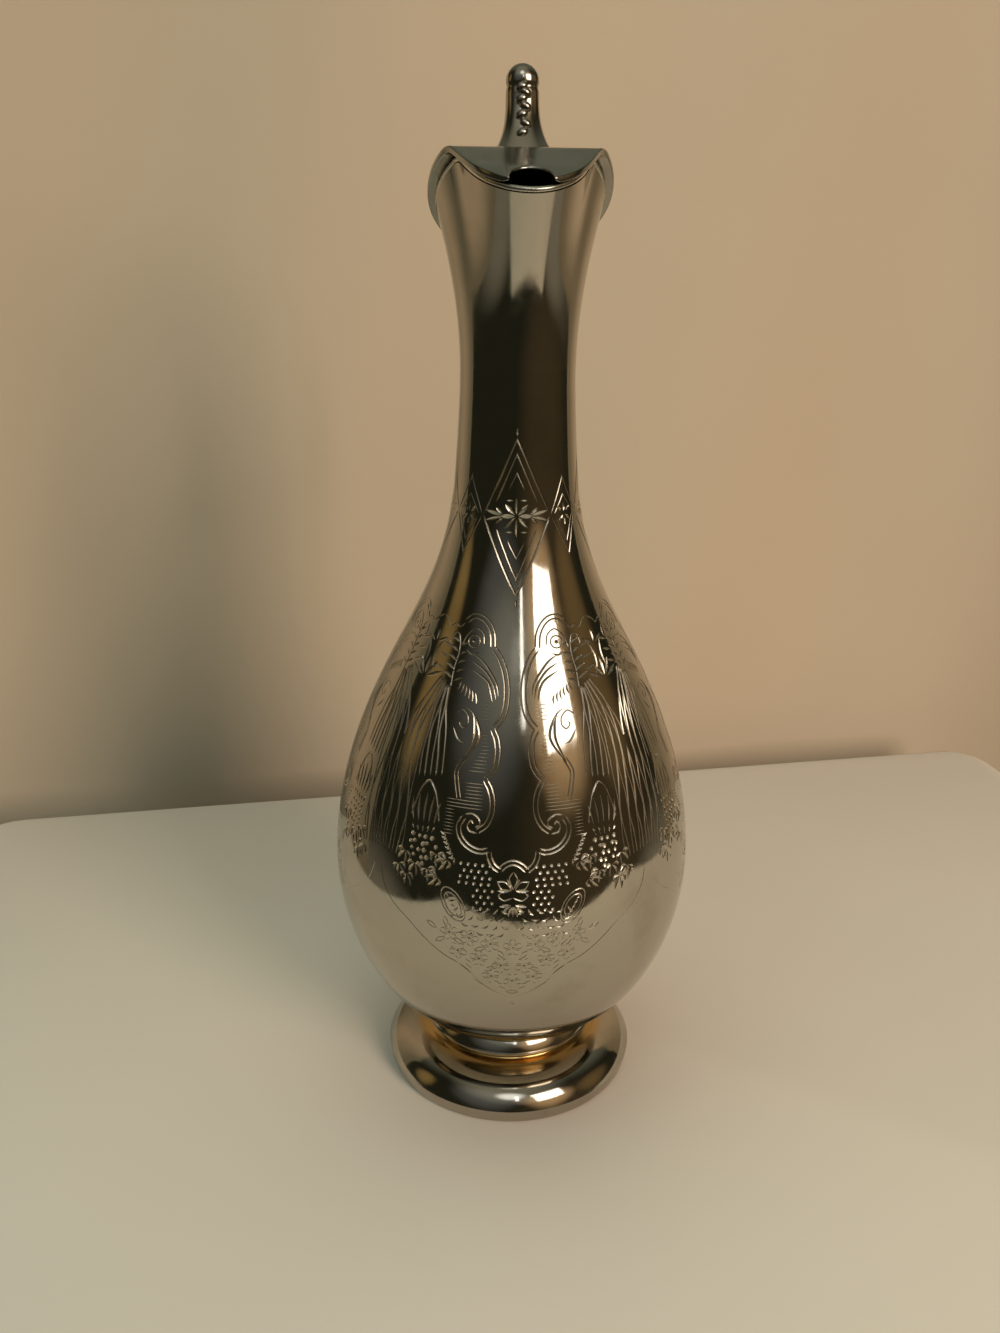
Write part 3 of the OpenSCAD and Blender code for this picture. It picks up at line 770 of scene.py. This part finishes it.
def body_pieces():
    skin_mesh = engraved_skin()
    for name in ("lower_bowl", "upper_body"):
        bm = skin_mesh.copy()
        upper = name == "upper_body"
        away = [f for f in bm.faces if (f.calc_center_median().z > BELLY_Z) != upper]
        bmesh.ops.delete(bm, geom=away, context="FACES")
        if upper:
            inner = inside(upper_line)[::-20]
            inner[0], inner[-1] = (NECK_R - WALL, NECK_Z), (BELLY_R - WALL, BELLY_Z)
            wall_in(bm, open_rim(bm, NECK_Z), inner)
            bmesh.ops.bridge_loops(bm, edges=open_rim(bm, BELLY_Z))
        else:
            inner = inside(lower_line)[::-10]
            inner[0] = (BELLY_R - WALL, BELLY_Z)
            last = wall_in(bm, open_rim(bm, BELLY_Z), inner)
            bmesh.ops.edgeloop_fill(bm, edges=last)
            bmesh.ops.edgeloop_fill(bm, edges=open_rim(bm, SEAT_Z))
        face_outwards(bm)
        turn_about(bm, "Z", ORNAMENT_TURN, bm.verts)
        piece = finish_piece(name + "_engraved", bm, engraved_silver, "pitcher", "silver_plate", name)
        set_plate_normals(piece)
    skin_mesh.free()


# Foot: a rounded wire, a spread shell and a swelling collar

RIM_BULGE = 1.2
BORE_R = SEAT_R - 3
# Fine ring, lip and cushion of the collar
THREAD_R, THREAD_W, THREAD_H = WAIST_R + 0.2, 0.5, 0.45
LIP_R, LIP_Z = 27.5, COLLAR_Z + 1.6
CUSHION_R, CUSHION_Z, CUSHION_ROUND = 17.1, 12, 11.5
# The gilt ends at a radius on the bell and at a height on the collar
BELL_GILT_R, BELL_GILT_FADE = 31.6, 2.6
COLLAR_GILT_Z, COLLAR_GILT_FADE = COLLAR_Z + 1.4, 0.3


def arc(r, z, wide, tall, angles):
    """Round stretch of an outline, about a middle of radius and height"""
    return [(r + wide * cos(a), z + tall * sin(a)) for a in np.radians(angles)]


def gild(bm, share):
    """Marks how gilt a turned piece is, from the radius and height of its points"""
    gilt = bm.verts.layers.float.new("gilt")
    for v in bm.verts:
        v[gilt] = clamp(share(hypot(v.co.x, v.co.y), v.co.z))


def foot_pieces():
    edge = arc(FOOT_R - RIM_BULGE, FOOT_RIM_H, RIM_BULGE, FOOT_RIM_H, np.arange(-90, 1, 9))
    inner = FOOT_R - FOOT_RIM_W
    bm = turned([(inner, 0), *edge, (inner, FOOT_RIM_H), (inner, 0)])
    finish_piece("foot_rim", bm, foot_silver, "pitcher", "silver_plate", "foot_rim_wire")

    rise = COLLAR_Z - FOOT_RIM_H
    cove_r, cove_z = WAIST_R + COVE_W, COLLAR_Z - COVE_H
    bell = [(FOOT_R, FOOT_RIM_H), (FOOT_R - 0.32 * rise, FOOT_RIM_H + 0.72 * rise),
            (cove_r + 0.25 * rise, cove_z - 0.125 * rise), (cove_r, cove_z)]
    cove = [(cove_r, cove_z), (cove_r - 0.5 * COVE_W, cove_z + 0.25 * COVE_W),
            (WAIST_R, COLLAR_Z - 0.6 * COVE_H), (WAIST_R, COLLAR_Z)]
    shell = np.array([bezier(bell, i / 32) for i in range(32)] + [bezier(cove, i / 14) for i in range(15)])
    under = inside(shell)
    under[0], under[-1] = (FOOT_R - WALL, FOOT_RIM_H), (WAIST_R - WALL, COLLAR_Z)
    bm = turned([*shell, *under[::-1], shell[0]])
    gild(bm, lambda r, z: (BELL_GILT_R - r) / BELL_GILT_FADE)
    finish_piece("foot_spread", bm, foot_silver, "pitcher", "silver_plate", "foot_shell")

    thread = arc(THREAD_R, COLLAR_Z + THREAD_H, THREAD_W, THREAD_H, np.arange(-90, 91, 15))
    lip = arc(LIP_R, LIP_Z, THREAD_H, THREAD_H, np.arange(-90, 21, 10))
    cushion = arc(CUSHION_R, CUSHION_Z, CUSHION_ROUND, CUSHION_ROUND, np.arange(22, 47, 2))
    outline = [(WAIST_R, COLLAR_Z), *thread, (THREAD_R, COLLAR_Z + 1.1), *lip, *cushion,
               (SEAT_R - 0.2, SEAT_Z)]
    bm = turned([*outline, (BORE_R, SEAT_Z), (BORE_R, COLLAR_Z), outline[0]])
    gild(bm, lambda r, z: (COLLAR_GILT_Z - z) / COLLAR_GILT_FADE)
    finish_piece("collar", bm, foot_silver, "pitcher", "silver_plate", "foot_collar")


# Mouth: a flare from the neck's circle to a spouted edge, with a wire along it

PLAN = [i * 2.5 for i in range(144)]


def mouth_ring(s, inset):
    points = []
    for t in PLAN:
        r_top = mouth_plan_r(t)
        wire_y = -(r_top - WALL / 2) * cos(radians(t))
        top = roof_z(wire_y) - EDGE_DROP
        r = NECK_R + (r_top - NECK_R) * s * s * (1.25 - 0.25 * s) - inset
        points.append(heading(t, r, NECK_Z + (top - NECK_Z) * s))
    return points


def mouth_pieces():
    levels = [i / 28 for i in range(29)]
    rings = [mouth_ring(s, 0) for s in levels] + [mouth_ring(s, WALL) for s in levels[::-1]]
    bm = lofted(rings, "joined")
    finish_piece("spouted_mouth", bm, mouth_silver, "pitcher", "silver_plate", "mouth")

    rings = []
    for a in np.arange(14) * 2 * pi / 14:
        points = []
        for t in PLAN:
            r = mouth_plan_r(t) - WALL / 2
            z = roof_z(-r * cos(radians(t))) - WIRE_DROP
            points.append(heading(t, r + RIM_WIRE_R * cos(a), z + RIM_WIRE_R * 0.92 * sin(a)))
        rings.append(points)
    bm = lofted(rings, "joined")
    finish_piece("rim_wire", bm, rim_silver, "pitcher", "silver_plate", "mouth_rim_wire")


# Lid: a bent plate with a pouring notch, softened along its edge

def lid_outline():
    middle = Vector((0, NOTCH_Y, 0))
    around = [heading(t, lid_plan_r(t), 0) for t in np.arange(0, 360, 1.5)]
    edge = [p for p in around if (p - middle).length > NOTCH_R]
    first, last = (np.arctan2(p.y - NOTCH_Y, p.x) for p in (edge[-1], edge[0]))
    notch = np.linspace(first % (2 * pi), last, 22)[1:-1]
    return edge + [middle + NOTCH_R * Vector((cos(t), sin(t), 0)) for t in notch]


NOTCH_EASE, NOTCH_THINNING = 1.5, 0.8


def lid_piece():
    bm = bmesh.new()
    bm.faces.new([bm.verts.new(p) for p in lid_outline()])
    crest = [CREST_Y + CREST_ROUND * k / 5 for k in range(-5, 6)]
    slices = [((0, y, 0), (0, 1, 0)) for y in (*np.arange(-26, -16.5, 2), *crest, *np.arange(-10, 24, 3))]
    slices += [((x, 0, 0), (1, 0, 0)) for x in np.arange(-21, 22, 3)]
    for point, normal in slices:
        bmesh.ops.bisect_plane(bm, geom=everything(bm), plane_co=point, plane_no=normal, dist=1e-4)
    for v in bm.verts:
        v.co.z = roof_z(v.co.y)
    made = bmesh.ops.extrude_face_region(bm, geom=bm.faces[:])["geom"]
    for v in (g for g in made if isinstance(g, bmesh.types.BMVert)):
        from_notch = hypot(v.co.x, v.co.y - NOTCH_Y) - NOTCH_R
        v.co.z -= LID_T - NOTCH_THINNING * clamp(1 - from_notch / NOTCH_EASE)
    face_outwards(bm)
    round_edges(bm, hard_edges(bm, 0.9), 0.35, 3)
    finish_piece("roofed_lid", bm, lid_silver, "lid", "silver_plate", "lid_cover", sharp=50)


# Thumbpiece: a cast post with a round knob and a twisted ridge down its front

BACK_SLOPE = atan(BACK_FALL)


def thumb_ring(y, z, tilt, width, depth):
    points = []
    for a in np.arange(SWEPT_STEPS) * 2 * pi / SWEPT_STEPS:
        out = depth / 2 * sin(a)
        points.append(Vector((width / 2 * cos(a), y + out * cos(tilt), z - out * sin(tilt))))
    return points


def thumb_path():
    base = np.array((THUMB_Y, roof_z(THUMB_Y)))
    height = THUMB_TOP_Z - base[1]
    top = np.array((base[0] + 0.3 * height, THUMB_TOP_Z - THUMB_W / 2))
    return [base, base + 0.45 * height * np.array((sin(BACK_SLOPE), cos(BACK_SLOPE))),
            (base[0] + 0.3 * height, base[1] + 0.7 * height), top]


def thumb_piece():
    path = thumb_path()
    rings = []
    for u in np.arange(37) / 36:
        y, z = bezier(path, u)
        spread = (1 - u) ** 5
        waist = 0.5 * max(0, 1 - abs(u - 0.87) / 0.1)
        width = THUMB_W + (THUMB_BASE_W - THUMB_W) * spread - waist
        depth = THUMB_DEPTH * (1 + 0.15 * spread) - waist
        rings.append(thumb_ring(y, z, BACK_SLOPE * (1 - u), width, depth))
    y, z = path[3]
    for a in np.radians(np.arange(8, 89, 8)):
        rings.append(thumb_ring(y, z + THUMB_W / 2 * sin(a), 0, THUMB_W * cos(a), THUMB_DEPTH * cos(a)))
    bm = lofted(rings, "filled")
    finish_piece("thumb_post", bm, cast_silver, "lid", "cast_plate", "thumbpiece")

    bm = bmesh.new()
    front = THUMB_DEPTH / 2 - 0.3
    for i, u in enumerate(np.linspace(0.2, 0.82, 7)):
        y, z = bezier(path, u)
        tilt = BACK_SLOPE * (1 - u)
        side = 0.5 if i % 2 else -0.5
        bead(bm, (side, y - front * cos(tilt), z + front * sin(tilt)), 1.5, (1.2, 0.75, 0.85), 70 * side)
    finish_piece("thumb_ridge", bm, cast_silver, "lid", "cast_plate")


# Handle: a scroll swept from its bracket to a curled tail, with a bead row along its back

HANDLE_START, HANDLE_SLOPE = np.array((30.5, 240.3)), radians(25)
HANDLE_TURN = np.array((HANDLE_REACH - HANDLE_DEPTH / 2, 202.4))
PLATE_TILT = radians(22.2)
BOSS_SIDE = np.array((54.79, 126.18))
TAIL_REACH = 16
CHANNEL = 0.9


def handle_line():
    """Middle of the handle from its bracket to its tail, and how much of its full size it has there"""
    pull = 30
    start_dir = np.array((cos(HANDLE_SLOPE), sin(HANDLE_SLOPE)))
    down = np.array((sin(PLATE_TILT), -cos(PLATE_TILT)))
    tail_end = BOSS_SIDE + TAIL_REACH * np.array((1, -0.75))
    upper = [HANDLE_START, HANDLE_START + pull * start_dir, HANDLE_TURN + (0, 1.35 * pull), HANDLE_TURN]
    lower = [HANDLE_TURN, HANDLE_TURN - (0, 1.15 * pull), BOSS_SIDE - pull * down, BOSS_SIDE]
    tail = [BOSS_SIDE, BOSS_SIDE + 0.7 * TAIL_REACH * down, tail_end - (0, 0.7 * TAIL_REACH), tail_end]
    middle = [bezier(part, i / 40) for part in (upper, lower) for i in range(40)]
    middle += [bezier(tail, i / 24) for i in range(25)]
    swell = [0.8 + 0.2 * sin(pi / 2 * i / 40) for i in range(80)] + [0.8 - 0.35 * i / 24 for i in range(25)]
    return np.array(middle), np.array(swell)


def handle_pieces():
    middle, swell = handle_line()
    across = sides(middle)
    rings = []
    for p, n, k in zip(middle, across, swell):
        points = []
        for a in np.arange(SWEPT_STEPS) * 2 * pi / SWEPT_STEPS:
            channel = CHANNEL * max(0, 1 - abs(a - pi / 2) / 0.5)
            y, z = p + (k * HANDLE_DEPTH / 2 * sin(a) - channel) * n
            points.append(Vector((k * HANDLE_W / 2 * cos(a), y, z)))
        rings.append(points)
    bm = lofted(rings, "filled")
    finish_piece("scroll_handle", bm, cast_silver, "pitcher", "cast_plate", "handle")

    bm = bmesh.new()
    gone = gone_along(middle)
    for at in np.arange(6, gone[-1] - 3, 2.1):
        k = np.interp(at, gone, swell)
        p, n = (np.array([np.interp(at, gone, row) for row in rows.T]) for rows in (middle, across))
        y, z = p + n * (k * HANDLE_DEPTH / 2 - CHANNEL)
        bead(bm, (0, y, z), 0.9 * k)
    bead(bm, (0, *middle[-1]), 2.6)
    finish_piece("handle_beads", bm, cast_silver, "pitcher", "cast_plate")


def softened(name, material, body, slot, round_by):
    """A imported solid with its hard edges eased"""
    bm = bmesh.new()
    bm.from_mesh(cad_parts[name].data)
    bm.transform(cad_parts[name].matrix_world)
    bmesh.ops.scale(bm, vec=(1 / MM, 1 / MM, 1 / MM), verts=bm.verts)
    bmesh.ops.remove_doubles(bm, verts=bm.verts, dist=0.001)
    bmesh.ops.dissolve_limit(bm, angle_limit=radians(1), verts=bm.verts, edges=bm.edges)
    round_edges(bm, hard_edges(bm, radians(35)), round_by, 2, clamped=True)
    face_outwards(bm)
    finish_piece(name + "_eased", bm, material, body, slot, name)


def small_pieces():
    for name, body, round_by in (("handle_bracket", "pitcher", 0.5), ("handle_plate", "pitcher", 0.5),
                                 ("hinge_body_leaf", "pitcher", 0.2), ("hinge_lid_leaf", "lid", 0.2)):
        softened(name, cast_silver, body, "cast_plate", round_by)
    softened("hinge_pin", pin_steel, "pitcher", "hinge_pin", 0.2)
    softened("lid_flange", lid_silver, "lid", "silver_plate", 0.2)


for build in (body_pieces, foot_pieces, mouth_pieces, lid_piece, thumb_piece, handle_pieces, small_pieces):
    build()


# Stage: a pale table top, a soft wall behind and a dark room in front

TABLE_SIZE, TABLE_MIDDLE = (0.512, 0.416, 0.03), (0.041, -0.011, -0.0151)
BACKDROP_SIZE, BACKDROP_SHIFT, BACKDROP_PLACE = (1.8, 1, 1), (0.19, 0, 0), (0, 0.235, -0.04)
STAGE_SLANT = 6.8
# From this distance off the middle, and over this width, the wall darkens into a painted shade
PAINTED_SHADE_X, PAINTED_SHADE_FADE = 0.26, 0.3


def cloth_material(name, colour, shade, scale, far=None):
    """Matt cloth with faint clouds, which may darken far from the object into a painted shade"""
    material, tree, shader = new_material(name)
    shader.inputs["Roughness"].default_value = 0.9
    shader.inputs["Specular IOR Level"].default_value = 0.2
    cloud = node(tree, "ShaderNodeTexNoise", {"Scale": scale, "Detail": 5})
    tree.links.new(node(tree, "ShaderNodeTexCoord").outputs["Object"], cloud.inputs["Vector"])
    tone = mixed(tree, cloud.outputs["Fac"], colour, shade)
    # The far tone is painted shade, standing in for the dimmer light far from the object
    if far:
        away = node(tree, "ShaderNodeAttribute", attribute_name="far")
        tone = mixed(tree, away.outputs["Fac"], tone, far)
    tree.links.new(tone, shader.inputs["Base Color"])
    return material


def see_through_from_behind(material):
    """Lets a camera behind the wall look past it"""
    tree = material.node_tree
    link = tree.links.new
    choose = node(tree, "ShaderNodeMixShader")
    link(node(tree, "ShaderNodeNewGeometry").outputs["Backfacing"], choose.inputs["Fac"])
    link(tree.nodes["Principled BSDF"].outputs["BSDF"], choose.inputs[1])
    link(node(tree, "ShaderNodeBsdfTransparent").outputs["BSDF"], choose.inputs[2])
    link(choose.outputs["Shader"], tree.nodes["Material Output"].inputs["Surface"])


def stage_piece(name, bm, material):
    made = made_object(name, bm, material, 50)


def stage():
    table = cloth_material("pale_table", (0.54, 0.42, 0.34), (0.50, 0.395, 0.315), 9)
    # The wall's last tone is painted shade for its dimly lit ends
    wall = cloth_material("beige_wall", (0.42, 0.31, 0.215), (0.38, 0.28, 0.192), 5, (0.23, 0.18, 0.12))
    see_through_from_behind(wall)
    bm = bmesh.new()
    bmesh.ops.create_cube(bm, size=1)
    bmesh.ops.scale(bm, vec=TABLE_SIZE, verts=bm.verts)
    round_edges(bm, [e for e in bm.edges if abs(e.verts[0].co.z - e.verts[1].co.z) > 0.01], 0.02, 6)
    round_edges(bm, [e for e in bm.edges if abs(e.verts[0].co.z - e.verts[1].co.z) < 0.001], 0.005, 3)
    bmesh.ops.translate(bm, vec=TABLE_MIDDLE, verts=bm.verts)
    turn_about(bm, "Z", STAGE_SLANT, bm.verts)
    stage_piece("table", bm, table)

    bm = bmesh.new()
    bmesh.ops.create_grid(bm, x_segments=100, y_segments=40, size=0.5)
    bmesh.ops.scale(bm, vec=BACKDROP_SIZE, verts=bm.verts)
    bmesh.ops.translate(bm, vec=BACKDROP_SHIFT, verts=bm.verts)
    # Painted shade: the far attribute darkens the wall towards its ends
    far = bm.verts.layers.float.new("far")
    for v in bm.verts:
        v[far] = clamp((abs(v.co.x) - PAINTED_SHADE_X) / PAINTED_SHADE_FADE)
        v.co.z = 0.006 * sin(14 * v.co.x + 5 * v.co.y) + 0.004 * sin(31 * v.co.x - 9 * v.co.y)
    turn_about(bm, "X", 90, bm.verts)
    turn_about(bm, "Z", STAGE_SLANT, bm.verts)
    bmesh.ops.translate(bm, vec=BACKDROP_PLACE, verts=bm.verts)
    stage_piece("wall", bm, wall)


def from_camera(turn, rise):
    """Direction at an angle round from the camera and above level"""
    turn, rise = radians(turn - CAMERA_TURN), radians(rise)
    return Vector((cos(rise) * sin(turn), -cos(rise) * cos(turn), sin(rise)))


def lamp(name, turn, rise, size, glow, colour, away=1.25, shown=True):
    """Soft lamp that looks at the pitcher; glow is its brightness where metal reflects it"""
    light = bpy.data.lights.new(name, "AREA")
    light.shape = "RECTANGLE"
    light.size, light.size_y = size
    light.energy = glow * pi * size[0] * size[1]
    light.color = colour
    made = bpy.data.objects.new(name, light)
    aim = Vector((0, 0, 0.14))
    made.location = aim + away * from_camera(turn, rise)
    made.rotation_euler = (aim - made.location).to_track_quat("-Z", "Y").to_euler()
    made.visible_camera = False
    made.visible_glossy = shown
    bpy.context.collection.objects.link(made)


def room_glow(tree, colour, turn, rise, spread, tall, tone):
    """Adds a soft patch of light to the dark room; tall is its height over its width"""
    link = tree.links.new
    squashed = Vector((1, 1, 1 / tall))
    middle = (from_camera(turn, rise) * squashed).normalized()
    squash = node(tree, "ShaderNodeVectorMath", {1: squashed}, operation="MULTIPLY")
    link(node(tree, "ShaderNodeTexCoord").outputs["Generated"], squash.inputs[0])
    unit = node(tree, "ShaderNodeVectorMath", operation="NORMALIZE")
    link(squash.outputs[0], unit.inputs[0])
    facing = node(tree, "ShaderNodeVectorMath", {1: middle}, operation="DOT_PRODUCT")
    link(unit.outputs[0], facing.inputs[0])
    fade = node(tree, "ShaderNodeMapRange", {"From Min": cos(radians(spread)), "From Max": 1},
                interpolation_type="SMOOTHSTEP")
    link(facing.outputs["Value"], fade.inputs["Value"])
    return mixed(tree, fade.outputs["Result"], colour, tone, blend_type="ADD")


# Patches of light in the room: turn and rise from the camera, spread, tallness and tone
ROOM_GLOWS = (
    (39, 27, 25, 1.0, (0.60, 0.39, 0.20)), (55, 0, 60, 1.0, (0.045, 0.026, 0.012)),
    (82, 19, 20, 1.0, (0.13, 0.08, 0.03)), (16, 32, 12, 1.2, (0.16, 0.13, 0.10)),
    (-80, 20, 12, 1.8, (0.27, 0.175, 0.06)), (-20, 36, 34, 1.0, (0.10, 0.105, 0.108)),
    (0, 62, 42, 1.0, (0.22, 0.21, 0.16)), (180, 60, 60, 1.0, (0.15, 0.155, 0.12)),
    (3, 47, 13, 1.0, (1.3, 1.35, 1.4)),
    (-95, -42, 34, 1.0, (0.19, 0.17, 0.13)), (108, -34, 30, 1.0, (0.22, 0.19, 0.14)))
DARK_ROOM, PLAIN_BACKDROP = (0.022, 0.022, 0.013), (0.30, 0.24, 0.155)


def lights_and_camera():
    lamp("key", 40, 17, (0.8, 1.2), 19, (1, 0.93, 0.80), 2.5, shown=False)
    lamp("window", 39, 31, (0.52, 0.48), 4, (1, 0.95, 0.88))
    lamp("window_gap", 9, 34, (0.06, 0.30), 2.6, (0.96, 0.98, 1))
    lamp("ceiling", 190, 75, (2.0, 1.6), 1.9, (0.74, 1, 0.92), 1.5, shown=False)
    lamp("room_fill", -60, 22, (2.0, 2.0), 1.0, (0.42, 0.92, 1), 1.6, shown=False)
    world = bpy.data.worlds.new("room")
    world.use_nodes = True
    tree = world.node_tree
    colour = DARK_ROOM
    for glow in ROOM_GLOWS:
        colour = room_glow(tree, colour, *glow)
    # The camera sees a plain backdrop where the wall ends, and only the metal shows the room
    sight = node(tree, "ShaderNodeLightPath")
    colour = mixed(tree, sight.outputs["Is Camera Ray"], colour, PLAIN_BACKDROP)
    tree.links.new(colour, tree.nodes["Background"].inputs["Color"])
    bpy.context.scene.world = world
    bpy.context.scene.view_settings.view_transform = "Standard"

    distance, height, pitch, pan, roll = 0.3125, 0.2489, 20.05, 0.75, 0.54
    data = bpy.data.cameras.new("camera")
    data.lens, data.sensor_width = 30.03, 36
    data.clip_start = 0.01
    camera = bpy.data.objects.new("camera", data)
    camera.location = distance * from_camera(0, 0) + Vector((0, 0, height))
    aim = Matrix.Rotation(radians(pan - CAMERA_TURN), 3, "Z") @ Matrix.Rotation(radians(90 - pitch), 3, "X")
    camera.rotation_euler = (aim @ Matrix.Rotation(radians(roll), 3, "Z")).to_euler()
    bpy.context.collection.objects.link(camera)
    bpy.context.scene.camera = camera


stage()
lights_and_camera()
